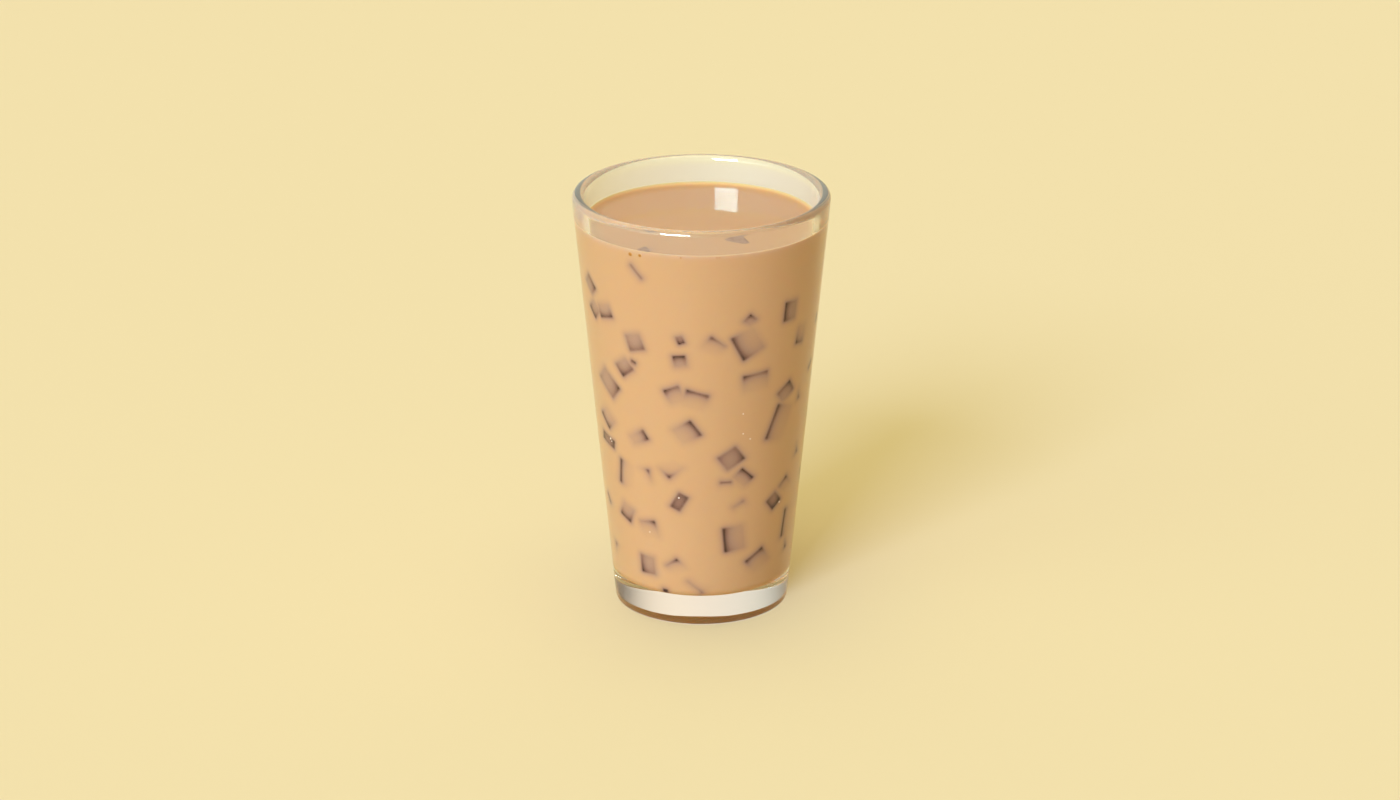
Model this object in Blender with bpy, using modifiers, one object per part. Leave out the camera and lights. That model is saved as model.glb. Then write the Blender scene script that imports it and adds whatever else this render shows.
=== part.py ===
"""Iced milk tea with grass jelly in a conical mixing glass.

Metres, +Z up. The origin is the centre of the glass's foot, and +Z is the axis that the glass is turned about.
"""

import math

import bmesh
import bpy
from mathutils import Euler, Vector

MM = 0.001

# The glass: a 16 oz conical mixing glass
GLASS_HEIGHT = 149.2 * MM
RIM_RADIUS = 44.45 * MM
FOOT_RADIUS = 30.2 * MM
RIM_WALL = 4.0 * MM
FLOOR_WALL = 5.4 * MM
BASE_THICKNESS = 10.2 * MM
HEEL_ROUND = 1.6 * MM
INNER_CORNER_ROUND = 3.0 * MM
FOOT_RING_WIDTH = 4.0 * MM
PUNT_DEPTH = 0.55 * MM
WALL_TOP = GLASS_HEIGHT - RIM_WALL / 2

# The drink: level, and the curve by which it climbs the wall
TEA_LEVEL = 138.4 * MM
MENISCUS_HEIGHT = 1.7 * MM
MENISCUS_REACH = 1.1 * MM
FIT_GAP = 0.3 * MM

# The jelly cubes that break the surface
JELLY_ROUND = 0.7 * MM
JELLY_CUBES = {
    # name: (x, y and height of the centre over the tea level, in mm), (tilt about x, y, z in degrees), edge in mm
    "jelly_cube_right": ((12.0, -21.4, -3.25), (6.0, -7.0, 24.0), 7.0),
    "jelly_cube_left": ((-17.0, -29.0, -3.85), (-9.0, 8.0, -30.0), 7.4),
}
POCKET_HEADROOM = 4.0 * MM

TURN_STEPS = 80
ARC_STEPS = 5

GLASS_COLOUR = (0.86, 0.90, 0.87, 1.0)
TEA_COLOUR = (0.70, 0.42, 0.21, 1.0)
JELLY_COLOUR = (0.16, 0.07, 0.04, 1.0)


def clear_scene():
    """Leaves nothing of the startup scene."""
    for obj in list(bpy.data.objects):
        bpy.data.objects.remove(obj, do_unlink=True)


def new_collection(name):
    collection = bpy.data.collections.new(name)
    bpy.context.scene.collection.children.link(collection)
    return collection


def make_material(name, colour, roughness, transmission=0.0):
    """A Principled BSDF, with alpha for what shows through a clear wall."""
    material = bpy.data.materials.new(name)
    material.use_nodes = True
    material.diffuse_color = colour
    shader = material.node_tree.nodes["Principled BSDF"]
    shader.inputs["Base Color"].default_value = colour
    shader.inputs["Roughness"].default_value = roughness
    shader.inputs["Metallic"].default_value = 0.0
    shader.inputs["Transmission Weight"].default_value = transmission
    return material


def outer_radius(z):
    """The glass's outer wall, a plain cone from the foot to the rim's round."""
    return FOOT_RADIUS + (RIM_RADIUS - FOOT_RADIUS) * z / WALL_TOP


def inner_radius(z):
    """The glass's inner wall: a steeper cone, so that the wall thickens from the rim to the floor."""
    top = RIM_RADIUS - RIM_WALL
    bottom = outer_radius(BASE_THICKNESS) - FLOOR_WALL
    share = (z - BASE_THICKNESS) / (WALL_TOP - BASE_THICKNESS)
    return bottom + (top - bottom) * share


def arc(centre, radius, start, end, steps=ARC_STEPS):
    """Points (r, z) of an arc about centre; angles in degrees from +r, counterclockwise towards +z."""
    points = []
    for i in range(steps + 1):
        angle = math.radians(start + (end - start) * i / steps)
        points.append((centre[0] + radius * math.cos(angle), centre[1] + radius * math.sin(angle)))
    return points


def floor_corner(radius, floor_z, offset=0.0):
    """The round where a flat floor meets the inner wall, offset inwards from the glass."""
    centre = (inner_radius(floor_z + radius) - offset - radius, floor_z + radius)
    return arc(centre, radius, -90, 0)


def glass_profile():
    """The inner floor out to the rim, down the outer wall, and under the foot to the axis."""
    rim_round = RIM_WALL / 2
    rim_centre = (RIM_RADIUS - rim_round, GLASS_HEIGHT - rim_round)
    heel_centre = (outer_radius(HEEL_ROUND) - HEEL_ROUND, HEEL_ROUND)
    ring_inner = heel_centre[0] - FOOT_RING_WIDTH

    profile = [(0.0, BASE_THICKNESS)]
    profile += floor_corner(INNER_CORNER_ROUND, BASE_THICKNESS)
    profile += arc(rim_centre, rim_round, 180, 0, 2 * ARC_STEPS)
    profile += arc(heel_centre, HEEL_ROUND, 0, -90)
    for share in (1.0, 0.8, 0.55, 0.3):
        profile.append((ring_inner * share, PUNT_DEPTH * (1 - share**2)))
    profile.append((0.0, PUNT_DEPTH))
    return profile


def meniscus_z(r, wall):
    """Height of the drink's surface at radius r, where it climbs the wall."""
    return TEA_LEVEL + MENISCUS_HEIGHT * math.exp(-(wall - r) / MENISCUS_REACH)


def tea_profile():
    """From the surface's centre out to the wall, then down to the floor's centre."""
    wall = inner_radius(TEA_LEVEL + MENISCUS_HEIGHT) - FIT_GAP
    profile = [(0.0, TEA_LEVEL)]
    for reach in (5.0, 3.0, 2.0, 1.2, 0.6, 0.0):
        r = wall - reach * MENISCUS_REACH
        profile.append((r, TEA_LEVEL if reach == 5.0 else meniscus_z(r, wall)))
    floor_z = BASE_THICKNESS + FIT_GAP
    profile += reversed(floor_corner(INNER_CORNER_ROUND, floor_z, FIT_GAP))
    profile.append((0.0, floor_z))
    return profile


def turned_piece(name, profile, material, collection):
    """A profile of (r, z) points turned about +Z by a Screw modifier."""
    mesh = bpy.data.meshes.new(name)
    points = [(r, 0.0, z) for r, z in profile]
    edges = [(i, i + 1) for i in range(len(points) - 1)]
    mesh.from_pydata(points, edges, [])
    mesh.materials.append(material)
    piece = bpy.data.objects.new(name, mesh)
    collection.objects.link(piece)
    screw = piece.modifiers.new("Turn", "SCREW")
    screw.axis = "Z"
    screw.angle = math.tau
    screw.steps = TURN_STEPS
    screw.render_steps = TURN_STEPS
    screw.use_merge_vertices = True
    screw.merge_threshold = 0.00002
    screw.use_smooth_shade = True
    return piece


def block(name, edge, height, centre, tilt, collection):
    """A block with a square foot of that edge, its foot's half edge below centre, turned and placed."""
    mesh = bpy.data.meshes.new(name)
    shape = bmesh.new()
    bmesh.ops.create_cube(shape, size=1.0)
    bmesh.ops.scale(shape, verts=shape.verts, vec=(edge, edge, height))
    bmesh.ops.translate(shape, verts=shape.verts, vec=(0, 0, (height - edge) / 2))
    shape.to_mesh(mesh)
    shape.free()
    piece = bpy.data.objects.new(name, mesh)
    collection.objects.link(piece)
    piece.location = centre
    piece.rotation_euler = tilt
    return piece


def jelly_cube(name, place, tilt, edge, material, collection):
    """A soft cube with rounded edges, floating so that part of its top face breaks the surface."""
    centre = Vector((place[0] * MM, place[1] * MM, TEA_LEVEL + place[2] * MM))
    turn = Euler([math.radians(angle) for angle in tilt])
    cube = block(name, edge * MM, edge * MM, centre, turn, collection)
    cube.data.materials.append(material)
    bevel = cube.modifiers.new("Soft edges", "BEVEL")
    bevel.width = JELLY_ROUND
    bevel.segments = 2
    return cube


def cut_pocket(tea, cube, edge, cutters):
    """Takes the cube's place, with the fit gap round it and open above, out of the drink."""
    foot = edge * MM + 2 * FIT_GAP
    pocket = block(
        cube.name + "_pocket", foot, foot + POCKET_HEADROOM, cube.location, cube.rotation_euler, cutters
    )
    pocket.hide_render = True
    pocket.display_type = "WIRE"
    cut = tea.modifiers.new("Pocket of " + cube.name, "BOOLEAN")
    cut.operation = "DIFFERENCE"
    cut.object = pocket


def build():
    clear_scene()
    parts = new_collection("iced_milk_tea")
    cutters = new_collection("cutters")
    glass_finish = make_material("soda_lime_glass", GLASS_COLOUR, 0.02, 1.0)
    tea_finish = make_material("milk_tea", TEA_COLOUR, 0.25)
    jelly_finish = make_material("grass_jelly", JELLY_COLOUR, 0.2)

    turned_piece("glass", glass_profile(), glass_finish, parts)
    tea = turned_piece("milk_tea", tea_profile(), tea_finish, parts)
    for name, (place, tilt, edge) in JELLY_CUBES.items():
        cube = jelly_cube(name, place, tilt, edge, jelly_finish, parts)
        cut_pocket(tea, cube, edge, cutters)


build()
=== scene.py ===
import logging
import math
import random
from dataclasses import dataclass
from enum import Enum

import bmesh
import bpy
from bpy.types import Camera, Material, Mesh, Node, NodeSocket, NodeTree, Object
from mathutils import Matrix, Vector


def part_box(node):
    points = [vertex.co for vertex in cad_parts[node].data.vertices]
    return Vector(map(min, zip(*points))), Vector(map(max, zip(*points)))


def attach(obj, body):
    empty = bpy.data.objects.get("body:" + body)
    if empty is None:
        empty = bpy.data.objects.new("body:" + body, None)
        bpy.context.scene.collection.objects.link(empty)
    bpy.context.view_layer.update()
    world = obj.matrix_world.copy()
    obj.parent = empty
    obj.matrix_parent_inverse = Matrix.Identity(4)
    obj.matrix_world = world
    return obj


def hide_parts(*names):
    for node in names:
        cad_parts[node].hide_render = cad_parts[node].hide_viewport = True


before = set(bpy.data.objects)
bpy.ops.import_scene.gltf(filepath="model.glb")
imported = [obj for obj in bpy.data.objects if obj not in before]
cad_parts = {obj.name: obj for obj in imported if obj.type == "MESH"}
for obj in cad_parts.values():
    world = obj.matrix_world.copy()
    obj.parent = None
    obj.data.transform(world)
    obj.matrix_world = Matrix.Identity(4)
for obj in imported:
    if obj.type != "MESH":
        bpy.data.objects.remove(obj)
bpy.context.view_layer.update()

# Iced milk tea with grass jelly in a conical mixing glass.
# Metres, +Z up, the glass's axis on +Z and its foot on z = 0. Angles round the glass are in degrees from -Y,
# the side that faces the camera, and grow to the right.

MM = 0.001
UP = Vector((0.0, 0.0, 1.0))
LOG = logging.getLogger("iced_milk_tea")
BODY = "root"

Inputs = dict[int | str, object] | tuple[object, ...]
Place = tuple[float, float, float]
Outline = list[tuple[float, float]]

# The node types that are used most. RANGE takes a value, the ends it lies between and what they become, and
# SOFT eases it at both ends.
MATH = "ShaderNodeMath"
VECTOR = "ShaderNodeVectorMath"
RANGE = "ShaderNodeMapRange"
MIX = "ShaderNodeMix"
READ = "ShaderNodeAttribute"
SOFT = {"interpolation_type": "SMOOTHSTEP"}


class Solid(Enum):
    """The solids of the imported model."""

    GLASS = "glass"
    TEA = "milk_tea"
    CUBE_RIGHT = "jelly_cube_right"
    CUBE_LEFT = "jelly_cube_left"


class Slot(Enum):
    """The record's material slots."""

    GLASS = "clear_glass"
    TEA = "milk_tea"
    JELLY = "dark_jelly"


def linear(colour: str) -> tuple[float, float, float, float]:
    """Turns an sRGB hex colour to linear light.

    Args:
        colour: six hex digits.

    Returns:
        Red, green and blue in linear light, and an alpha of 1.
    """
    parts = [int(colour[i : i + 2], 16) / 255 for i in (0, 2, 4)]
    light = [c / 12.92 if c <= 0.04045 else ((c + 0.055) / 1.055) ** 2.4 for c in parts]
    return (light[0], light[1], light[2], 1.0)


def around(angle: float) -> Vector:
    """Gives the level direction at an angle in degrees round the glass."""
    return Vector((math.sin(math.radians(angle)), -math.cos(math.radians(angle)), 0.0))


def add_node(tree: NodeTree, kind: str, inputs: Inputs = (), **settings: object) -> Node:
    """Adds one node to a shader or geometry tree, with its settings and links.

    Args:
        tree: the tree that takes the node.
        kind: Blender's name of the node's type.
        inputs: values, sockets or nodes for its inputs, in order or by name or place. A node stands for its
            first output.
        settings: properties to set on the node, by name.

    Returns:
        The node.
    """
    node = tree.nodes.new(kind)
    for name, value in settings.items():
        setattr(node, name, value)
    for key, value in inputs.items() if isinstance(inputs, dict) else enumerate(inputs):
        source = value.outputs[0] if isinstance(value, Node) else value
        if isinstance(source, NodeSocket):
            tree.links.new(source, node.inputs[key])
        else:
            node.inputs[key].default_value = source
    return node


def start_material(name: str, values: dict[str, object]) -> tuple[Material, NodeTree, Node]:
    """Starts a material with what is the same all over the surface.

    Args:
        name: the material's name.
        values: values for the inputs of its Principled shader, by name.

    Returns:
        The material, its tree and its shader.
    """
    made = bpy.data.materials.new(name)
    made.use_nodes = True
    shader = made.node_tree.nodes["Principled BSDF"]
    for key, value in values.items():
        shader.inputs[key].default_value = value
    return made, made.node_tree, shader


def start_shape_tree(name: str, inputs: dict[str, str]) -> tuple[NodeTree, dict[str, NodeSocket]]:
    """Starts a geometry tree.

    Args:
        name: the tree's name.
        inputs: the type of each input after the geometry, such as Float, by name.

    Returns:
        The tree, and the sockets that give its inputs, by name.
    """
    tree = bpy.data.node_groups.new(name, "GeometryNodeTree")
    tree.interface.new_socket("Geometry", in_out="OUTPUT", socket_type="NodeSocketGeometry")
    for label, kind in {"Geometry": "Geometry", **inputs}.items():
        tree.interface.new_socket(label, in_out="INPUT", socket_type="NodeSocket" + kind)
    given = add_node(tree, "NodeGroupInput").outputs
    return tree, {label: given[label] for label in ("Geometry", *inputs)}


def add_object(name: str, data: Mesh | Camera) -> Object:
    """Puts a mesh or a camera in the scene.

    Args:
        name: the new object's name.
        data: its mesh or its camera's settings.

    Returns:
        The object.
    """
    added = bpy.data.objects.new(name, data)
    bpy.context.scene.collection.objects.link(added)
    return added


def grow(name: str, seed_mesh: Mesh, tree: NodeTree, values: dict[str, object]) -> Object:
    """Runs a geometry tree on a mesh and keeps the result as a plain mesh.

    Args:
        name: the name of the new piece.
        seed_mesh: the mesh that the tree starts from.
        tree: the geometry tree.
        values: the tree's inputs by name.

    Returns:
        The piece, with no modifier left on it and only the materials that it uses.
    """
    piece = add_object(name, seed_mesh)
    modifier = piece.modifiers.new(tree.name, "NODES")
    modifier.node_group = tree
    for item in tree.interface.items_tree:
        if item.item_type == "SOCKET" and item.in_out == "INPUT" and item.name in values:
            modifier[item.identifier] = values[item.name]
    graph = bpy.context.evaluated_depsgraph_get()
    made = bpy.data.meshes.new_from_object(piece.evaluated_get(graph), depsgraph=graph)
    piece.modifiers.remove(modifier)
    piece.data = made
    made.name = name
    used = sorted({face.material_index for face in made.polygons})
    finishes = [made.materials[i] for i in used if i < len(made.materials)]
    places = [used.index(face.material_index) for face in made.polygons]
    made.materials.clear()
    for finish in finishes:
        made.materials.append(finish)
    made.polygons.foreach_set("material_index", places)
    bpy.data.meshes.remove(seed_mesh)
    return piece


def points_mesh(name: str, points: list[Place], **vectors: list[Place]) -> Mesh:
    """Makes a mesh of loose points.

    Args:
        name: the mesh's name.
        points: where they are.
        vectors: one vector for each point, by the name of the attribute that keeps it.

    Returns:
        The mesh.
    """
    mesh = bpy.data.meshes.new(name)
    mesh.from_pydata(points, [], [])
    for label, values in vectors.items():
        attribute = mesh.attributes.new(label, "FLOAT_VECTOR", "POINT")
        attribute.data.foreach_set("vector", [number for value in values for number in value])
    return mesh


def arc(centre: tuple[float, float], radius: float, start: float, end: float, steps: int) -> Outline:
    """Works out the points of an arc in a turned profile.

    Args:
        centre: the arc's centre, as (r, z).
        radius: its radius.
        start: the angle of its first point, in degrees from +r towards +z.
        end: the angle of its last point.
        steps: how many pieces it is cut into.

    Returns:
        The points as (r, z).
    """
    angles = [math.radians(start + (end - start) * i / steps) for i in range(steps + 1)]
    return [(centre[0] + radius * math.cos(a), centre[1] + radius * math.sin(a)) for a in angles]


@dataclass(frozen=True)
class Lathe:
    """Turns an outline about +Z, and gives what lies over a height another finish where it isn't upright.

    A face is upright while its direction's share along Z is under the least slope.
    """

    weld: float = 0.002 * MM
    least_slope: float = 0.2

    def tree(self) -> NodeTree:
        """Builds the tree that turns an outline.

        Returns:
            A tree whose geometry input is the outline's points in order, each at (r, 0, z).
        """
        kinds = {"Profile Points": "Int", "Turn Steps": "Int", "Top Above": "Float", "Weld": "Float"}
        kinds |= {"Wall Finish": "Material", "Top Finish": "Material"}
        tree, given = start_shape_tree("turned_shell", kinds)
        steps = given["Turn Steps"]
        columns = add_node(tree, MATH, (steps, 1), operation="ADD")
        sizes = {"Vertices X": given["Profile Points"], "Vertices Y": columns}
        grid = add_node(tree, "GeometryNodeMeshGrid", sizes)
        index = add_node(tree, "GeometryNodeInputIndex")
        middle = add_node(tree, MATH, (index, 0.5), operation="ADD")
        share = add_node(tree, MATH, (middle, columns), operation="DIVIDE")
        row = add_node(tree, MATH, (share,), operation="FLOOR")
        column = add_node(tree, MATH, (index, columns), operation="MODULO")
        part = add_node(tree, MATH, (column, steps), operation="DIVIDE")
        angle = add_node(tree, MATH, (part, math.tau, -math.pi / 2), operation="MULTIPLY_ADD")
        position = add_node(tree, "GeometryNodeInputPosition")
        point = {"Geometry": given["Geometry"], "Value": position, "Index": row}
        spot = add_node(tree, "GeometryNodeSampleIndex", point, data_type="FLOAT_VECTOR")
        turn = {"Vector": spot, "Angle": angle}
        place = add_node(tree, "ShaderNodeVectorRotate", turn, rotation_type="Z_AXIS")
        turned = add_node(tree, "GeometryNodeSetPosition", {"Geometry": grid, "Position": place})
        seam = {"Geometry": turned, "Distance": given["Weld"]}
        welded = add_node(tree, "GeometryNodeMergeByDistance", seam)
        smooth = add_node(tree, "GeometryNodeSetShadeSmooth", (welded,))
        real = add_node(tree, "GeometryNodeRealizeInstances", (smooth,))
        dress = {"Geometry": real, "Material": given["Wall Finish"]}
        walls = add_node(tree, "GeometryNodeSetMaterial", dress)
        normal = add_node(tree, "GeometryNodeInputNormal")
        height = add_node(tree, "ShaderNodeSeparateXYZ", (position,)).outputs["Z"]
        facing = add_node(tree, "ShaderNodeSeparateXYZ", (normal,)).outputs["Z"]
        slope = add_node(tree, MATH, (facing,), operation="ABSOLUTE")
        level = add_node(tree, MATH, (slope, self.least_slope), operation="GREATER_THAN")
        high = add_node(tree, MATH, (height, given["Top Above"]), operation="GREATER_THAN")
        is_top = add_node(tree, MATH, (high, level), operation="MULTIPLY")
        dress = {"Geometry": walls, "Selection": is_top, "Material": given["Top Finish"]}
        top = add_node(tree, "GeometryNodeSetMaterial", dress)
        add_node(tree, "NodeGroupOutput", (top,))
        return tree

    def turn(self, name: str, outline: Outline, steps: int, values: dict[str, object]) -> Object:
        """Turns a closed shape.

        Args:
            name: the piece's name.
            outline: the points that are turned, as (r, z), from the axis and back to it.
            steps: how many steps the turn has.
            values: the two finishes and the height that parts them, by the names of the tree's inputs.

        Returns:
            The piece, with its faces outwards.
        """
        seeds = points_mesh(name + "_outline", [(r, 0.0, z) for r, z in outline])
        sizes = {"Profile Points": len(outline), "Turn Steps": steps, "Weld": self.weld}
        piece = grow(name, seeds, self.tree(), {**sizes, **values})
        shape = bmesh.new()
        shape.from_mesh(piece.data)
        bmesh.ops.recalc_face_normals(shape, faces=shape.faces)
        if shape.calc_volume(signed=True) < 0:
            bmesh.ops.reverse_faces(shape, faces=shape.faces)
        shape.to_mesh(piece.data)
        shape.free()
        return piece


def hand_over(piece: Object, slot: Slot, *solids: Solid) -> Object:
    """Hangs a finished piece on the body that it rides on, and hides the imported solids that it stands for.

    Args:
        piece: the finished piece.
        slot: the record's material slot; not used.
        solids: the solids that it replaces, if any.

    Returns:
        The piece.
    """
    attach(piece, BODY)
    if solids:
        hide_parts(*[solid.value for solid in solids])
    return piece


@dataclass(frozen=True)
class PressedGlass:
    """Soda-lime glass, pressed in a mould and fire polished: clear, faintly rippled, scuffed where it stands.

    A pale, bluish diffuse layer on the inner wall over the drink and, paler, on the rim is painted light: it
    stands in for the whiter light seen through and mirrored in the glass there. It thins out towards the
    camera's side.
    """

    ior: float = 1.52
    scuffed_roughness: float = 0.2
    scuff_height: float = 0.04 * MM
    ripple_size: float = 9.0 * MM
    ripple_depth: float = 0.012 * MM
    # The film colours are painted light: pale, bluish tones standing in for the whiter light seen through and
    # mirrored in the glass over the drink.
    film: str = "ced4ed"
    rim_painted_light: str = "eef2e2"
    painted_light_thins: tuple[float, float] = (-30.0 * MM, 15.0 * MM)
    painted_light_shares: tuple[float, float] = (0.05, 0.2)
    painted_light_from: tuple[float, float] = (139.6 * MM, 140.6 * MM)
    wall_middle: float = 41.6 * MM
    rim_from: float = 146.5 * MM
    rim_blend: float = 0.5 * MM
    rim_widening: float = 3.0

    def milk_film(self, tree: NodeTree, place: NodeSocket) -> Node:
        """Adds the share of the diffuse layer that paints paler light on the wall over the drink.

        Args:
            tree: the material's tree.
            place: the object's coordinates.

        Returns:
            A share that is nil except on the inner wall and the rim, and largest away from the camera.
        """
        spot = add_node(tree, "ShaderNodeSeparateXYZ", (place,)).outputs
        flat = add_node(tree, VECTOR, (place, (1.0, 1.0, 0.0)), operation="MULTIPLY")
        radius = add_node(tree, VECTOR, (flat,), operation="LENGTH").outputs["Value"]
        over_rim = add_node(tree, MATH, (spot["Z"], self.rim_from), operation="SUBTRACT", use_clamp=True)
        limits = (over_rim, self.rim_widening, self.wall_middle)
        reach = add_node(tree, MATH, limits, operation="MULTIPLY_ADD")
        inside = add_node(tree, MATH, (radius, reach), operation="LESS_THAN")
        from_drink = add_node(tree, RANGE, (spot["Z"], *self.painted_light_from), **SOFT)
        share = add_node(tree, RANGE, (spot["Y"], *self.painted_light_thins, *self.painted_light_shares), **SOFT)
        over = add_node(tree, MATH, (inside, from_drink), operation="MULTIPLY")
        return add_node(tree, MATH, (over, share), operation="MULTIPLY")

    def material(self) -> Material:
        """Builds the material.

        Returns:
            A clear glass. The ripples give highlights a slightly wavering edge, the scuffs dull the ring
            that the glass stands on, and a diffuse layer paints paler light on the wall over the drink.
        """
        clear = {"Base Color": (1.0, 1.0, 1.0, 1.0), "IOR": self.ior, "Transmission Weight": 1.0}
        made, tree, shader = start_material("pressed_soda_lime_glass", clear)
        place = add_node(tree, "ShaderNodeTexCoord").outputs["Object"]
        noise = {"Vector": place, "Scale": 1 / self.ripple_size, "Detail": 1.0, "Roughness": 0.3}
        ripples = add_node(tree, "ShaderNodeTexNoise", noise)
        relief = {"Strength": 1.0, "Distance": self.ripple_depth, "Height": ripples}
        bump = add_node(tree, "ShaderNodeBump", relief)
        tree.links.new(bump.outputs[0], shader.inputs["Normal"])
        height = add_node(tree, "ShaderNodeSeparateXYZ", (place,)).outputs["Z"]
        worn = (height, self.scuff_height, self.scuff_height / 4, 0.0, self.scuffed_roughness)
        scuffs = add_node(tree, RANGE, worn, **SOFT)
        tree.links.new(scuffs.outputs[0], shader.inputs["Roughness"])
        low, high = self.rim_from - self.rim_blend, self.rim_from + self.rim_blend
        on_rim = add_node(tree, RANGE, (height, low, high))
        # A diffuse layer paints paler, bluer light on the wall over the drink and on the rim.
        colours = {0: on_rim, 6: linear(self.film), 7: linear(self.rim_painted_light)}
        tint = add_node(tree, MIX, colours, data_type="RGBA").outputs[2]
        painted_pale_light = add_node(tree, "ShaderNodeBsdfDiffuse", {"Color": tint})
        mixed = add_node(tree, "ShaderNodeMixShader", (self.milk_film(tree, place), shader, painted_pale_light))
        tree.links.new(mixed.outputs[0], tree.nodes["Material Output"].inputs["Surface"])
        return made


# A film's colours are partly the thinner milk's own and partly painted light: the backdrop's glow through the
# thin edge.
@dataclass(frozen=True)
class FilmAndPaintedGlow:
    """The drink's thin upper edge: heights over its level in mm, how fast it starts, and its two colours."""

    start: float
    end: float
    power: float
    low: str
    high: str


@dataclass(frozen=True)
class MilkTeaFinish:
    """Black tea with milk: an opaque emulsion, warm tan, with dark jelly greying what milk lies over it.

    Veils are the colours at rising shares of jelly, from the milk just tinted to the jelly bare.
    """

    tea: str = "cc9d70"
    tea_until: float = 0.07
    veils: tuple[tuple[float, str], ...] = ((0.36, "ab836b"), (0.6, "8a6252"), (0.97, "472823"))
    veil_depth_mm: float = 0.8
    veil_power: float = 1.5
    film_gain: float = 2.5
    scatter_radius: float = 1.6 * MM

    def body_colour(self, tree: NodeTree) -> NodeSocket:
        """Adds the drink's colour: tea, then greyed milk, then bare jelly.

        Args:
            tree: the material's tree.

        Returns:
            The colour. The jelly's share is 1 where it touches the surface, and falls as the milk thickens.
        """
        depth = add_node(tree, READ, attribute_name="milk_depth").outputs["Fac"]
        milk = add_node(tree, MATH, (depth, 1 / self.veil_depth_mm, 1.0), operation="MULTIPLY_ADD")
        share = add_node(tree, MATH, (milk, -self.veil_power), operation="POWER")
        ramp = add_node(tree, "ShaderNodeValToRGB", (share,))
        stops = ramp.color_ramp.elements
        stops.remove(stops[1])
        stops[0].position = self.tea_until
        stops[0].color = linear(self.tea)
        for place, colour in self.veils:
            stops.new(place).color = linear(colour)
        return ramp.outputs["Color"]

    def film_and_glow_over(self, tree: NodeTree, colour: NodeSocket, film: FilmAndPaintedGlow) -> NodeSocket:
        """Lays the thin film of the meniscus over a colour, its paler top partly painted light: the backdrop
        glowing through the thin edge.

        Args:
            tree: the material's tree.
            colour: what lies under the film.
            film: where the film starts and ends and its colours.

        Returns:
            The colour with the film.
        """
        climb = add_node(tree, READ, attribute_name="climb").outputs["Fac"]
        risen = add_node(tree, RANGE, (climb, film.start, film.end))
        share = add_node(tree, MATH, (risen, film.power), operation="POWER")
        cover = add_node(tree, MATH, (share, self.film_gain), operation="MULTIPLY", use_clamp=True)
        tints = {0: share, 6: linear(film.low), 7: linear(film.high)}
        thin = add_node(tree, MIX, tints, data_type="RGBA").outputs[2]
        return add_node(tree, MIX, {0: cover, 6: colour, 7: thin}, data_type="RGBA").outputs[2]

    def material(self, name: str, specular: float, roughness: float, film: FilmAndPaintedGlow) -> Material:
        """Builds the material of one side of the drink.

        Args:
            name: the material's name.
            specular: the specular level, which is nil where the drink lies against glass.
            roughness: how sharp its gloss is.
            film: the meniscus's film on this side.

        Returns:
            The material. Light soaks a little way in, so that edges glow and shadows stay soft.
        """
        values = {
            "Specular IOR Level": specular,
            "IOR": 1.34,
            "Roughness": roughness,
            "Subsurface Weight": 0.6,
            "Subsurface Radius": (1.0, 0.5, 0.22),
            "Subsurface Scale": self.scatter_radius,
        }
        made, tree, shader = start_material(name, values)
        tree.links.new(self.film_and_glow_over(tree, self.body_colour(tree), film), shader.inputs["Base Color"])
        return made


@dataclass(frozen=True)
class GrassJelly:
    """Grass jelly cut into cubes: a dark brown set jelly, bare where it presses on the glass."""

    dark: str = "41231f"
    light: str = "543029"
    grain: float = 1.5 * MM
    grain_range: tuple[float, float] = (0.38, 0.62)
    roughness: float = 0.4
    specular: float = 0.0

    def material(self, name: str) -> Material:
        """Builds the material.

        Args:
            name: the material's name.

        Returns:
            A cloudy brown. A gloss shows only where the jelly meets air.
        """
        values = {
            "Roughness": self.roughness,
            "IOR": 1.36,
            "Specular IOR Level": self.specular,
            "Subsurface Weight": 0.4,
            "Subsurface Radius": (1.0, 0.5, 0.35),
            "Subsurface Scale": 1.0 * MM,
        }
        made, tree, shader = start_material(name, values)
        place = add_node(tree, "ShaderNodeTexCoord").outputs["Object"]
        noise = {"Vector": place, "Scale": 1 / self.grain, "Detail": 3.0, "Roughness": 0.6}
        cloud = add_node(tree, "ShaderNodeTexNoise", noise)
        spread = add_node(tree, RANGE, (cloud, *self.grain_range))
        colours = {0: spread, 6: linear(self.dark), 7: linear(self.light)}
        mixed = add_node(tree, MIX, colours, data_type="RGBA").outputs[2]
        tree.links.new(mixed, shader.inputs["Base Color"])
        return made


@dataclass(frozen=True)
class MilkSkinAndGlint:
    """Milk dried to a skin on air bubbles: one colour through a bubble's middle, another at its edge. On the
    specks the near-white is a painted highlight.
    """

    middle: str
    edge: str

    def material(self, name: str) -> Material:
        """Builds the material.

        Args:
            name: the material's name.

        Returns:
            A soft coloured skin that reads the attribute rim.
        """
        made, tree, shader = start_material(name, {"Roughness": 0.3, "Specular IOR Level": 0.1})
        rim = add_node(tree, READ, attribute_name="rim").outputs["Fac"]
        colours = {0: rim, 6: linear(self.middle), 7: linear(self.edge)}
        mixed = add_node(tree, MIX, colours, data_type="RGBA").outputs[2]
        tree.links.new(mixed, shader.inputs["Base Color"])
        return made


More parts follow.
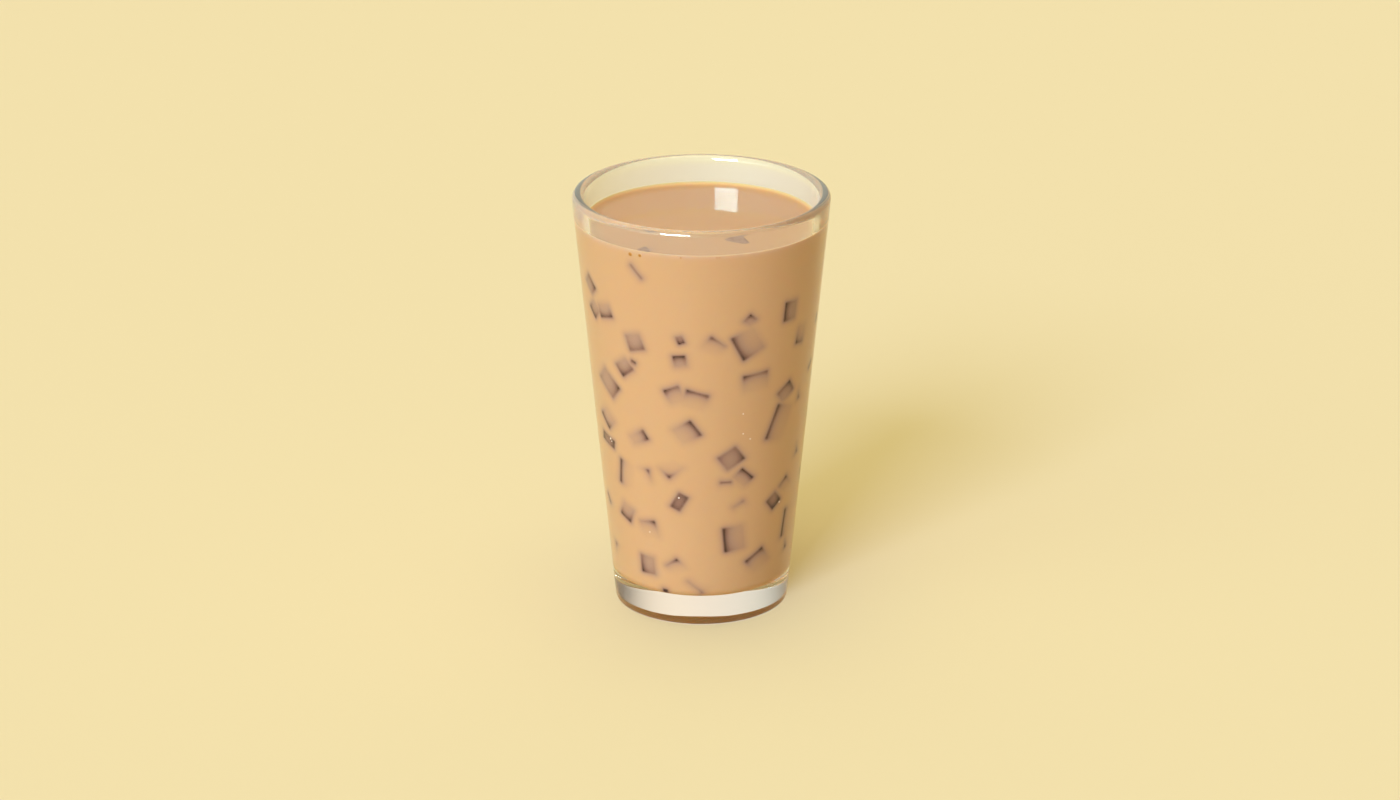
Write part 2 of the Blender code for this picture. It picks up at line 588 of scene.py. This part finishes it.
@dataclass
class MixingGlass:
    """The glass: plain cones outside and inside, a thick floor, a round rim and a foot ring round a punt."""

    height: float
    rim_radius: float
    foot_radius: float = 30.2 * MM
    rim_wall: float = 4.0 * MM
    floor_wall: float = 5.4 * MM
    base: float = 10.2 * MM
    heel_round: float = 1.6 * MM
    inner_corner: float = 3.0 * MM
    foot_ring: float = 4.0 * MM
    punt: float = 0.55 * MM
    punt_slope: float = 6.5 * MM
    turn_steps: int = 360
    corner_steps: int = 10
    rim_steps: int = 24
    heel_steps: int = 12

    @property
    def wall_top(self) -> float:
        """Gives the height at which the walls meet the rim's round."""
        return self.height - self.rim_wall / 2

    def outer_radius(self, z: float) -> float:
        """Gives the outer wall's radius at a height."""
        return self.foot_radius + (self.rim_radius - self.foot_radius) * z / self.wall_top

    def inner_radius(self, z: float) -> float:
        """Gives the inner wall's radius at a height.

        Args:
            z: the height over the foot.

        Returns:
            The radius, on a cone that leaves the wall thicker at the floor than at the rim.
        """
        top = self.rim_radius - self.rim_wall
        bottom = self.outer_radius(self.base) - self.floor_wall
        return bottom + (top - bottom) * (z - self.base) / (self.wall_top - self.base)

    def outline(self) -> Outline:
        """Works out the outline that is turned.

        Returns:
            Points from the floor's centre out to the rim, down the outer wall and under the foot to the axis.
        """
        rim = self.rim_wall / 2
        heel = (self.outer_radius(self.heel_round) - self.heel_round, self.heel_round)
        corner_z = self.base + self.inner_corner
        corner = (self.inner_radius(corner_z) - self.inner_corner, corner_z)
        points = [(0.0, self.base), (corner[0] / 2, self.base)]
        points += arc(corner, self.inner_corner, -90, 0, self.corner_steps)
        points += arc((self.rim_radius - rim, self.wall_top), rim, 180, 0, self.rim_steps)
        points += arc(heel, self.heel_round, 0, -90, self.heel_steps)
        flat = heel[0] - self.foot_ring - self.punt_slope
        for share in (1.0, 0.8, 0.6, 0.4, 0.2, 0.0):
            points.append((flat + self.punt_slope * share, self.punt * (1 - share**3)))
        return points + [(flat / 2, self.punt), (0.0, self.punt)]

    def build(self, finish: Material) -> Object:
        """Makes the glass.

        Args:
            finish: the glass's material.

        Returns:
            The finished piece.
        """
        finishes = {"Wall Finish": finish, "Top Finish": finish, "Top Above": self.height}
        piece = Lathe().turn("glass_shell", self.outline(), self.turn_steps, finishes)
        # Clear glass throws no shadow of its own, so the drink and the paper stay lit through it
        piece.visible_shadow = False
        piece.visible_diffuse = False
        return hand_over(piece, Slot.GLASS, Solid.GLASS)


# How far the glass's inner wall leans out for each unit of height
WALL_LEAN = 0.1055


@dataclass(frozen=True)
class Die:
    """One sunk cube of jelly, placed by the point of its outer face that comes nearest the wall.

    Angles are in degrees and lengths in mm. Touch is that point, each number -1, 0 or 1, across and up.
    Size is across, up and deep. Spin leans its upright to the right, yaw turns its right side inwards, pitch
    its top. Gap is the milk left between it and the wall.
    """

    angle: float
    height: float
    touch: tuple[int, int]
    size: Place
    spin: float = 0.0
    yaw: float = 0.0
    pitch: float = 0.0
    gap: float = 0.0

    def turned(self) -> Matrix:
        """Works out the die's turn.

        Returns:
            The turn from its own axes, across, up and out through the wall, to the part's.
        """
        out = (around(self.angle) - UP * WALL_LEAN).normalized()
        across = around(self.angle + 90)
        at_wall = Matrix((across, out.cross(across), out)).transposed()
        own = (
            Matrix.Rotation(-math.radians(self.spin), 3, "Z")
            @ Matrix.Rotation(math.radians(self.yaw), 3, "Y")
            @ Matrix.Rotation(-math.radians(self.pitch), 3, "X")
        )
        return at_wall @ own


def scatter_tree() -> NodeTree:
    """Builds the tree that sets one small thing on each point.

    Returns:
        A tree that reads the point attributes thing_turn and thing_size.
    """
    kinds = {"Thing": "Object", "Finish": "Material"}
    tree, given = start_shape_tree("set_on_points", kinds)
    unit = add_node(tree, "GeometryNodeObjectInfo", {"Object": given["Thing"]}).outputs["Geometry"]
    turn, size = (
        add_node(tree, "GeometryNodeInputNamedAttribute", {"Name": label}, data_type="FLOAT_VECTOR")
        for label in ("thing_turn", "thing_size")
    )
    rotation = add_node(tree, "FunctionNodeEulerToRotation", (turn,))
    places = {"Points": given["Geometry"], "Instance": unit, "Rotation": rotation, "Scale": size}
    placed = add_node(tree, "GeometryNodeInstanceOnPoints", places)
    real = add_node(tree, "GeometryNodeRealizeInstances", (placed,))
    smooth = add_node(tree, "GeometryNodeSetShadeSmooth", (real,))
    dress = {"Geometry": smooth, "Material": given["Finish"]}
    dressed = add_node(tree, "GeometryNodeSetMaterial", dress)
    add_node(tree, "NodeGroupOutput", (dressed,))
    return tree


def scatter(name: str, unit: Mesh, finish: Material, things: list[tuple[Vector, Matrix, Place]]) -> Object:
    """Sets a unit shape in many places and joins them to one piece.

    Args:
        name: the piece's name.
        unit: the unit shape.
        finish: the piece's material.
        things: the centre of each, its turn, and its size in mm.

    Returns:
        The piece, not yet handed over.
    """
    seeds = points_mesh(
        name + "_places",
        [tuple(centre) for centre, _, _ in things],
        thing_turn=[tuple(turn.to_euler()) for _, turn, _ in things],
        thing_size=[tuple(edge * MM for edge in size) for _, _, size in things],
    )
    thing = add_object(unit.name, unit)
    piece = grow(name, seeds, scatter_tree(), {"Thing": thing, "Finish": finish})
    bpy.data.objects.remove(thing)
    return piece


@dataclass
class SunkJelly:
    """The jelly cubes sunk in the drink that lie against the glass.

    Unit sizes are shares of a cube's edge. Rings are how far the rows of points lie from a face's middle.
    Seen are the dice of the side that the photograph shows, chosen one by one to lie as they do there.
    """

    glass: MixingGlass
    edge_round: float = 0.3 * MM
    unit_round: float = 0.05
    unit_sag: float = 0.045
    unit_rings: tuple[float, ...] = (0.0, 0.16, 0.32, 0.45, 0.5)
    into_wall: float = 0.13 * MM
    settling_steps: int = 8
    seed: int = 7
    hidden_count: int = 46
    hidden_spacing: float = 9.5 * MM
    hidden_tries: int = 4000
    seen: tuple[Die, ...] = (
        Die(-67, 122.5, (1, 0), (4.5, 6, 6), -47, -8, 3),
        Die(-70, 110.5, (-1, 0), (5, 5, 6), -47, 12),
        Die(-56, 111.5, (0, -1), (6.5, 5, 6), -16, 0, 14),
        Die(-33, 132.0, (-1, 0), (7, 6, 7), -41, 45, 0, 0.35),
        Die(-37, 105.5, (0, 0), (5.9, 6, 6), -17, 1, 5, 0.25),
        Die(-11, 108.6, (0, 0), (2.0, 2.6, 5), -20, 4, 10),
        Die(5, 109.9, (-1, 1), (6.2, 6, 6), 38, 9, -24, 0.12),
        Die(-12, 102.5, (0, 1), (4.0, 4, 6), -8, 0, -14),
        Die(-70, 87.0, (-1, -1), (9.5, 6.5, 7), 41, 5, 6),
        Die(-43, 93.0, (1, 0), (5, 6, 6), 51, -9, 2),
        Die(-21, 89.0, (-1, 1), (5.5, 6, 7), -25, 7, -18),
        Die(-8, 90.0, (-1, 1), (7.5, 7, 7), 18, 6.5, -21),
        Die(-69, 70.5, (-1, 0), (6, 6.5, 6), -44, 18),
        Die(-68, 63.5, (0, 0), (3, 7.5, 6), -77),
        Die(-34, 71.0, (1, 0), (7, 3.6, 6), -32, -16, 3),
        Die(0, 73.0, (1, -1), (7.5, 6.6, 8), -35, -19.5, 1),
        Die(-57, 54.0, (-1, 0), (7, 9.5, 7), 9, 34),
        Die(-34, 57.5, (1, 1), (6, 5, 6), 1, -35, -25, 0.1),
        Die(-20, 56.0, (-1, -1), (7, 5, 7), -41, 18, 20),
        Die(-78, 39.5, (-1, 0), (4, 3.5, 5), -32, 45, 0, 0.1),
        Die(-57, 36.0, (0, -1), (5.2, 6, 6), 24, 0, 12),
        Die(-32, 38.0, (1, 1), (6, 7, 6), -11, -14, -20),
        Die(-14, 47.0, (0, 0), (3.3, 6.2, 5), 29, 0, 0, 0.12),
        Die(-74, 23.0, (-1, 1), (5, 4, 5), -4, 40, -30, 0.15),
        Die(-45, 20.5, (-1, 0), (5.2, 6.8, 7), 0, 11.5, 3),
        Die(-17, 24.5, (1, 1), (5, 6, 6), -38, -12, -30),
        Die(-10, 16.5, (-1, 1), (6.5, 6, 6), 43, 0, -45, 0.5),
        Die(19, 104.5, (-1, 0), (8.5, 10, 8), -27, 14.5),
        Die(25.3, 117.0, (1, 1), (3.2, 3.2, 5), -45, -13, -13),
        Die(46.5, 115.0, (-1, 0), (5.4, 7, 6), 2, 12),
        Die(61, 101.2, (0, -1), (4, 6.5, 6), 8, 8, 12),
        Die(23, 94.0, (-1, 1), (9, 7, 7), -4, 8.5, -20),
        Die(51, 86.5, (-1, 0), (5, 6.5, 6), 57, 7, -3),
        Die(44, 74.5, (-1, 0), (8, 13, 8), 20, 22),
        Die(18, 63.5, (0, 0), (7, 6.2, 6), -34, -2, 0, 0.06),
        Die(29, 57.0, (1, 0), (4.6, 6, 6), -45, -20),
        Die(80, 89.0, (-1, 0), (4, 3, 5), 46, 45, 0, 0.1),
        Die(67, 79.5, (-1, -1), (4, 4, 5), 11, 45, 30, 0.15),
        Die(73, 58.0, (-1, -1), (4, 4, 5), 10, 45, 30, 0.1),
        Die(59, 49.5, (-1, 0), (5, 4.5, 6), 48, 24, -8),
        Die(15, 54.5, (0, 1), (3.5, 6, 6), 2, 0, -45, 0.3),
        Die(48, 42.0, (-1, 0), (4.6, 5, 6), -38, 4, 2, -0.08),
        Die(27, 46.5, (1, 1), (4, 6, 6), -31, -10, -40, 0.5),
        Die(65, 32.5, (-1, 0), (6, 10.5, 7), 4, 34),
        Die(72, 22.0, (-1, -1), (5, 4, 5), 5, 45, 25, 0.05),
        Die(15, 32.0, (-1, 0), (7, 9.5, 7), -6, 17),
        Die(38, 24.5, (-1, 0), (7, 7.4, 7), 57, 20),
        Die(89, 46.5, (-1, 0), (4, 5, 5), -15, 45, 0, 0.2),
        Die(-38.6, 97.9, (0, 1), (1.6, 2, 4), 20, 0, -30, 0.1),
        Die(-26.8, 11.6, (0, 0), (1.2, 1.0, 3), 10, 0, 10, 0.08),
        Die(83.5, 105.5, (-1, 0), (2, 2.5, 4), 0, 45, 0, 0.1),
    )

    def hidden(self, taken: list[tuple[Die, Vector]]) -> list[tuple[Die, Vector]]:
        """Scatters dice over the side that the photograph doesn't show, by the same habits.

        Args:
            taken: the dice that are already placed, with their centres.

        Returns:
            The further dice with their centres.
        """
        draw = random.Random(self.seed)
        placed: list[tuple[Die, Vector]] = []
        for _ in range(self.hidden_tries):
            if len(placed) == self.hidden_count:
                break
            die = Die(
                angle=180 + draw.uniform(-88, 88),
                height=draw.uniform(17, 132),
                touch=(draw.choice((-1, 0, 1)), draw.choice((-1, 0, 0, 1))),
                size=(draw.uniform(5, 9), draw.uniform(5, 10), draw.uniform(5, 8)),
                spin=draw.uniform(-60, 60),
                yaw=draw.choice((-1, 1)) * draw.choice((4, 14, 26, 45)),
                pitch=draw.uniform(-12, 12),
                gap=draw.choice((0, 0, 0, 0.1, 0.4)),
            )
            centre = self.seat(die)
            if all((centre - other).length > self.hidden_spacing for _, other in taken + placed):
                placed.append((die, centre))
        return placed

    def seat(self, die: Die) -> Vector:
        """Pushes a die out until it meets the wall, or stops short of it by its gap.

        Args:
            die: the die.

        Returns:
            Its centre.
        """
        turn = die.turned()
        half = Vector(die.size) * (MM / 2)
        core = [max(h - self.edge_round, 0.0) for h in half]
        z = die.height * MM
        out = around(die.angle)
        target = out * self.glass.inner_radius(z) + UP * z
        centre = target - turn @ Vector((die.touch[0] * half[0], die.touch[1] * half[1], half[2]))
        signs = [(i, j, k) for i in (-1, 1) for j in (-1, 1) for k in (-1, 1)]
        corners = [turn @ Vector([sign * c for sign, c in zip(each, core)]) for each in signs]
        for _ in range(self.settling_steps):
            excess = max(
                math.hypot(p.x, p.y) + self.edge_round - self.glass.inner_radius(p.z)
                for p in (centre + corner for corner in corners)
            )
            centre -= out * (excess - self.into_wall + die.gap * MM)
        return centre

    def unit_die(self) -> Mesh:
        """Makes the unit die that is repeated.

        Returns:
            A cube of edge 1 with rounded edges, whose cut faces sag a little inwards.
        """
        last = len(self.unit_rings) - 1
        core = 0.5 - self.unit_round
        shape = bmesh.new()
        bmesh.ops.create_cube(shape, size=1.0)
        bmesh.ops.subdivide_edges(shape, edges=shape.edges, cuts=2 * last - 1, use_grid_fill=True)
        for vertex in shape.verts:
            rings = [round(abs(c) * 2 * last) for c in vertex.co]
            spot = Vector([math.copysign(self.unit_rings[ring], c) for ring, c in zip(rings, vertex.co)])
            inner = Vector([max(-core, min(core, c)) for c in spot])
            sag = Vector()
            for axis in range(3):
                if rings[axis] == last:
                    u, v = (spot[(axis + k) % 3] * 2 for k in (1, 2))
                    sag[axis] = math.copysign(self.unit_sag * (1 - u * u) * (1 - v * v), spot[axis])
            vertex.co = inner + (spot - inner).normalized() * self.unit_round * (spot != inner) - sag
        mesh = bpy.data.meshes.new("unit_die")
        shape.to_mesh(mesh)
        shape.free()
        return mesh

    def build(self, finish: Material) -> Object:
        """Makes all the sunk dice as one piece.

        Args:
            finish: the jelly's material.

        Returns:
            The finished piece.
        """
        dice = [(die, self.seat(die)) for die in self.seen]
        dice += self.hidden(dice)
        things = [(centre, die.turned(), die.size) for die, centre in dice]
        return hand_over(scatter("sunk_jelly", self.unit_die(), finish, things), Slot.JELLY)


@dataclass(frozen=True)
class Bubble:
    """One bubble against the glass: its angle in degrees, its height and its width in mm."""

    angle: float
    height: float
    width: float


@dataclass
class Foam:
    """Small flattened bubbles that cling to the glass at the drink's edge and in its side."""

    glass: MixingGlass
    bubbles: tuple[Bubble, ...]
    flatness: float = 0.35
    into_wall: float = 0.05 * MM
    pokes_out: float = 0.2 * MM
    rim_power: float = 3.0

    def unit_bubble(self) -> Mesh:
        """Makes the unit bubble that is repeated.

        Returns:
            A ball of width 1 whose attribute rim grows from its middle to its edge.
        """
        shape = bmesh.new()
        bmesh.ops.create_uvsphere(shape, u_segments=16, v_segments=10, radius=0.5)
        mesh = bpy.data.meshes.new("unit_bubble")
        shape.to_mesh(mesh)
        shape.free()
        reach = [2 * math.hypot(vertex.co.x, vertex.co.y) for vertex in mesh.vertices]
        rim = mesh.attributes.new("rim", "FLOAT", "POINT")
        rim.data.foreach_set("value", [min(1.0, share**self.rim_power) for share in reach])
        return mesh

    def build(self, name: str, finish: Material) -> Object:
        """Makes the bubbles as one piece.

        Args:
            name: the piece's name.
            finish: the bubbles' material.

        Returns:
            The finished piece.
        """
        things = []
        for bubble in self.bubbles:
            turn = Die(bubble.angle, bubble.height, (0, 0), (1, 1, 1)).turned()
            z = bubble.height * MM
            thick = bubble.width * self.flatness
            half = thick * MM / 2
            radius = self.glass.inner_radius(z) + self.into_wall + min(self.pokes_out, half) - half
            centre = around(bubble.angle) * radius + UP * z
            things.append((centre, turn, (bubble.width, bubble.width, thick)))
        return hand_over(scatter(name, self.unit_bubble(), finish, things), Slot.TEA)


@dataclass
class Drink:
    """The milk tea, from the floor up to its level, climbing the wall in a meniscus.

    It goes a hair into the wall, so that no air is left between it and the glass.
    """

    glass: MixingGlass
    level: float = 138.4 * MM
    meniscus_height: float = 1.7 * MM
    meniscus_reach: float = 1.1 * MM
    curved_reaches: int = 9
    flat_rows: int = 12
    curved_rows: int = 16
    side_step: float = 0.6 * MM
    into_wall: float = 0.05 * MM
    turn_steps: int = 384
    corner_steps: int = 8
    farthest: float = 4.0 * MM
    start_outside: float = 0.6 * MM
    sideways_milk: float = 1.3

    def outline(self) -> Outline:
        """Works out the outline that is turned.

        Returns:
            Points from the surface's centre out to the wall, down it and along the floor to the axis.
        """
        glass = self.glass
        top = self.level + self.meniscus_height
        wall = glass.inner_radius(top) + self.into_wall
        curved = self.curved_reaches * self.meniscus_reach
        points = [((wall - curved) * i / self.flat_rows, self.level) for i in range(self.flat_rows)]
        for i in range(self.curved_rows + 1):
            from_wall = curved * (1 - i / self.curved_rows) ** 2
            rise = self.meniscus_height * math.exp(-from_wall / self.meniscus_reach)
            points.append((wall - from_wall, self.level + rise))
        corner_z = glass.base + glass.inner_corner
        rows = round((top - corner_z) / self.side_step)
        for i in range(1, rows):
            z = top + (corner_z - top) * i / rows
            points.append((glass.inner_radius(z) + self.into_wall, z))
        corner = (glass.inner_radius(corner_z) - glass.inner_corner, corner_z)
        points += arc(corner, glass.inner_corner + self.into_wall, 0, -90, self.corner_steps)
        return points + [(corner[0] * share, glass.base - self.into_wall) for share in (0.66, 0.33, 0.0)]

    def depth_tree(self) -> NodeTree:
        """Builds the tree that measures the milk between the drink's skin and the jelly under it.

        Returns:
            A tree that stores milk_depth, and climb, the height over the drink's level, both in mm.
        """
        kinds = {"Jelly": "Object", "Farthest": "Float", "Level": "Float"}
        tree, given = start_shape_tree("milk_over_jelly", kinds)
        jelly = add_node(tree, "GeometryNodeObjectInfo", {"Object": given["Jelly"]}).outputs["Geometry"]
        place = add_node(tree, "GeometryNodeInputPosition")
        normal = add_node(tree, "GeometryNodeInputNormal")
        outside = (normal, (self.start_outside,) * 3, place)
        start = add_node(tree, VECTOR, outside, operation="MULTIPLY_ADD")
        inwards = add_node(tree, VECTOR, {0: normal, "Scale": -1.0}, operation="SCALE")
        look = {"Target Geometry": jelly, "Source Position": start, "Ray Direction": inwards}
        look["Ray Length"] = given["Farthest"]
        ray = add_node(tree, "GeometryNodeRaycast", look).outputs
        under = add_node(tree, MATH, (ray["Hit Distance"], self.start_outside), operation="SUBTRACT")
        choice = {"Switch": ray["Is Hit"], "False": given["Farthest"], "True": under}
        straight = add_node(tree, "GeometryNodeSwitch", choice, input_type="FLOAT")
        spot = {0: jelly, "Sample Position": place}
        near = add_node(tree, "GeometryNodeProximity", spot, target_element="FACES").outputs["Distance"]
        sideways = add_node(tree, MATH, (near, self.sideways_milk), operation="MULTIPLY")
        depth = add_node(tree, MATH, (straight, sideways), operation="MINIMUM")
        milk = add_node(tree, MATH, (depth, 0.0), operation="MAXIMUM")
        height = add_node(tree, "ShaderNodeSeparateXYZ", (place,)).outputs["Z"]
        risen = add_node(tree, MATH, (height, given["Level"]), operation="SUBTRACT")
        stored = given["Geometry"]
        for label, length in (("milk_depth", milk), ("climb", risen)):
            in_mm = add_node(tree, MATH, (length, MM), operation="DIVIDE")
            kept = {"Geometry": stored, "Name": label, "Value": in_mm}
            stored = add_node(tree, "GeometryNodeStoreNamedAttribute", kept, data_type="FLOAT")
        real = add_node(tree, "GeometryNodeRealizeInstances", (stored,))
        add_node(tree, "NodeGroupOutput", (real,))
        return tree

    def build(self, jelly: Object, side: Material, surface: Material) -> Object:
        """Makes the drink.

        Args:
            jelly: the sunk dice, which grey the milk over them.
            side: the material against the glass.
            surface: the material of the open surface.

        Returns:
            The finished piece.
        """
        finishes = {"Wall Finish": side, "Top Finish": surface, "Top Above": self.level - 0.1 * MM}
        turned = Lathe().turn("milk_tea_turned", self.outline(), self.turn_steps, finishes)
        mesh = turned.data
        bpy.data.objects.remove(turned)
        measured = {"Jelly": jelly, "Farthest": self.farthest, "Level": self.level}
        piece = grow("milk_tea_body", mesh, self.depth_tree(), measured)
        return hand_over(piece, Slot.TEA, Solid.TEA)


@dataclass(frozen=True)
class Lobe:
    """A patch of light on the studio's dome.

    Angle is in degrees round from the camera's side, to the right; height is in degrees over the horizon.
    Spread is the power by which a soft patch fades from its middle, or a softbox's half width in degrees.
    """

    angle: float
    height: float
    spread: float
    radiance: Place

    def towards(self) -> Vector:
        """Gives the direction of its middle."""
        height = math.radians(self.height)
        return around(self.angle) * math.cos(height) + UP * math.sin(height)


@dataclass
class Studio:
    """The pale paper that the glass stands on, soft light from the front left, and the camera.

    The glint is what the softbox adds where it is seen mirrored in the glass and the drink.
    """

    paper: str = "e2cfa3"
    paper_radius: float = 30.0
    paper_sides: int = 96
    haze: Place = (0.38, 0.32, 0.23)
    haze_height: float = 0.12
    dome: Place = (0.05, 0.05, 0.07)
    softbox: Lobe = Lobe(-26.0, 33.0, 11.0, (10.5, 13.0, 22.4))
    softbox_edge: float = 0.93
    glint: Place = (40.0, 66.0, 60.0)
    lobes: tuple[Lobe, ...] = (
        Lobe(0.0, 90.0, 10.0, (3.4, 2.98, 1.5)),
        Lobe(-45.0, 12.0, 6.0, (1.95, 2.5, 2.3)),
        Lobe(-20.0, 12.0, 6.0, (0.72, 0.88, 0.3)),
        Lobe(180.0, 20.0, 5.0, (0.64, 0.55, 0.43)),
        Lobe(-140.0, 20.0, 6.0, (0.4, 0.4, 0.32)),
        Lobe(152.0, 20.0, 10.0, (0.42, 0.36, 0.25)),
    )
    camera_height_angle: float = 20.61
    camera_distance: float = 1580.75 * MM
    aim_height: float = 74.6 * MM
    lens: float = 116.56
    shift: tuple[float, float] = (-0.00104, -0.00336)
    bounces: int = 24
    mirror_bounces: int = 12

    def floor(self) -> None:
        """Lays the paper floor, matt card without a seam."""
        shape = bmesh.new()
        bmesh.ops.create_circle(shape, cap_ends=True, segments=self.paper_sides, radius=self.paper_radius)
        mesh = bpy.data.meshes.new("paper_floor")
        shape.to_mesh(mesh)
        shape.free()
        values = {"Roughness": 0.9, "Specular IOR Level": 0.1, "Base Color": linear(self.paper)}
        mesh.materials.append(start_material("matt_card", values)[0])
        add_object("paper_floor", mesh)

    def along(self, tree: NodeTree, axis: Vector) -> NodeSocket:
        """Adds how far the looked-at direction goes along an axis."""
        direction = add_node(tree, "ShaderNodeTexCoord").outputs["Generated"]
        return add_node(tree, VECTOR, (direction, axis), operation="DOT_PRODUCT").outputs["Value"]

    def softbox_shape(self, tree: NodeTree) -> Node:
        """Adds the square outline of the softbox.

        Args:
            tree: the world's tree.

        Returns:
            A number that is 1 inside the softbox and 0 outside it.
        """
        front = 0.1
        towards = self.softbox.towards()
        across = UP.cross(towards).normalized()
        ahead = self.along(tree, towards)
        edge = math.tan(math.radians(self.softbox.spread))
        inside = add_node(tree, MATH, (ahead, front), operation="GREATER_THAN")
        for axis in (across, towards.cross(across)):
            aside = add_node(tree, MATH, (self.along(tree, axis), ahead), operation="DIVIDE")
            offset = add_node(tree, MATH, (aside,), operation="ABSOLUTE")
            limits = (offset, edge, edge * self.softbox_edge)
            fade = add_node(tree, RANGE, limits, **SOFT)
            inside = add_node(tree, MATH, (inside, fade), operation="MULTIPLY")
        return inside

    def light(self) -> None:
        """Builds the light: a soft dome with brighter patches, and one square softbox at the front left."""
        world = bpy.data.worlds.new("studio")
        bpy.context.scene.world = world
        world.use_nodes = True
        tree = world.node_tree
        rise = self.along(tree, UP)
        climb = add_node(tree, RANGE, (rise, 0.0, self.haze_height), **SOFT)
        colours = {0: climb, 6: (*self.haze, 1.0), 7: (*self.dome, 1.0)}
        light = add_node(tree, MIX, colours, data_type="RGBA").outputs[2]
        patches = []
        for lobe in self.lobes:
            ahead = add_node(tree, MATH, (self.along(tree, lobe.towards()), 0.0), operation="MAXIMUM")
            patches.append((add_node(tree, MATH, (ahead, lobe.spread), operation="POWER"), lobe.radiance))
        ray = add_node(tree, "ShaderNodeLightPath").outputs
        seen = (ray["Is Glossy Ray"], ray["Is Transmission Ray"])
        mirrored = add_node(tree, MATH, seen, operation="MAXIMUM")
        softbox = self.softbox_shape(tree)
        glint = add_node(tree, MATH, (softbox, mirrored), operation="MULTIPLY")
        patches += [(softbox, self.softbox.radiance), (glint, self.glint)]
        for share, radiance in patches:
            glow = add_node(tree, VECTOR, {0: radiance, "Scale": share}, operation="SCALE")
            summed = {0: 1.0, 6: light, 7: glow}
            light = add_node(tree, MIX, summed, data_type="RGBA", blend_type="ADD").outputs[2]
        tree.links.new(light, tree.nodes["Background"].inputs["Color"])
        world.cycles.sampling_method = "MANUAL"
        world.cycles.sample_map_resolution = 2048

    def camera(self) -> None:
        """Sets the camera at the photograph's angle and distance."""
        data = bpy.data.cameras.new("camera")
        data.lens = self.lens
        data.sensor_width = 36.0
        data.sensor_fit = "HORIZONTAL"
        data.shift_x, data.shift_y = self.shift
        data.clip_start = 0.05
        data.clip_end = 200.0
        camera = add_object("camera", data)
        tilt = math.radians(self.camera_height_angle)
        back = self.camera_distance * math.cos(tilt)
        camera.location = (0.0, -back, self.aim_height + self.camera_distance * math.sin(tilt))
        camera.rotation_euler = (math.pi / 2 - tilt, 0.0, 0.0)
        bpy.context.scene.camera = camera

    def colours(self) -> None:
        """Keeps colours as lit and highlights unclamped, and lets light through all the glass's walls."""
        scene = bpy.context.scene
        scene.view_settings.view_transform = "Standard"
        scene.cycles.sample_clamp_indirect = 0.0
        scene.cycles.max_bounces = self.bounces
        scene.cycles.transmission_bounces = self.bounces
        scene.cycles.glossy_bounces = self.mirror_bounces


def build_foams(glass: MixingGlass) -> list[Object]:
    """Makes the amber bubbles along the drink's edge and the pale specks in its side, whose near-white is a
    painted highlight.

    Args:
        glass: the glass that they cling to.

    Returns:
        The finished pieces.
    """
    edge = (
        Bubble(-35.6, 138.1, 1.9),
        Bubble(-30.3, 138.3, 1.5),
        Bubble(-9.7, 139.1, 0.7),
        Bubble(7.3, 139.2, 0.6),
        Bubble(8.6, 139.2, 0.6),
    )
    specks = (
        Bubble(24.0, 80.0, 0.5),
        Bubble(24.6, 72.4, 0.5),
        Bubble(29.3, 70.0, 0.5),
        Bubble(-65.1, 64.4, 0.8),
        Bubble(-64.0, 63.6, 0.5),
        Bubble(-14.2, 48.6, 0.6),
        Bubble(57.6, 41.8, 0.7),
        Bubble(-36.0, 33.5, 0.4),
        Bubble(150.0, 92.0, 0.3),
        Bubble(-160.0, 55.0, 0.3),
    )
    return [
        Foam(glass, bubbles).build(name, skin.material(name + "_skin"))
        for name, bubbles, skin in (
            ("edge_bubbles", edge, MilkSkinAndGlint("a8661c", "e2b27c")),
            # The specks are tiny bubbles whose near-white colour is a painted highlight.
            ("milk_specks", specks, MilkSkinAndGlint("f2e6d6", "e6c7a4")),
        )
    ]


def dress_cubes() -> list[Object]:
    """Dresses the two cubes that break the surface as jelly under a film of milk.

    Returns:
        The cubes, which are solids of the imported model.
    """
    finish = GrassJelly("8f6b56", "a27e66", 1.6 * MM, roughness=0.22, specular=0.35)
    material = finish.material("jelly_under_milk_film")
    cubes = [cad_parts[solid.value] for solid in (Solid.CUBE_RIGHT, Solid.CUBE_LEFT)]
    for cube in cubes:
        cube.data.materials.clear()
        cube.data.materials.append(material)
    return cubes


def main() -> None:
    """Builds the studio, the glass and the drink in order."""
    logging.basicConfig(level=logging.INFO, format="%(name)s: %(message)s")
    studio = Studio()
    studio.camera()
    studio.floor()
    studio.light()
    studio.colours()

    low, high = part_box(Solid.GLASS.value)
    glass = MixingGlass(height=high.z - low.z, rim_radius=(high.x - low.x) / 2)
    shell = glass.build(PressedGlass().material())
    dice = SunkJelly(glass).build(GrassJelly().material("jelly_against_glass"))
    # The meniscus films' pale tops are partly painted light, the backdrop glowing through the thin edge.
    side_film_and_glow = FilmAndPaintedGlow(-2.5, 1.7, 4.0, "c99f7b", "cba684")
    surface_film_and_glow = FilmAndPaintedGlow(0.35, 1.6, 1.4, "d39c62", "d8bb84")
    side = MilkTeaFinish().material("milk_tea_against_glass", 0.0, 0.5, side_film_and_glow)
    surface = MilkTeaFinish(tea="c19162").material("milk_tea_surface", 0.5, 0.02, surface_film_and_glow)
    tea = Drink(glass).build(dice, side, surface)
    for piece in [shell, dice, tea, *build_foams(glass), *dress_cubes()]:
        LOG.info("%s: %d faces", piece.name, len(piece.data.polygons))


if __name__ == "__main__":
    main()
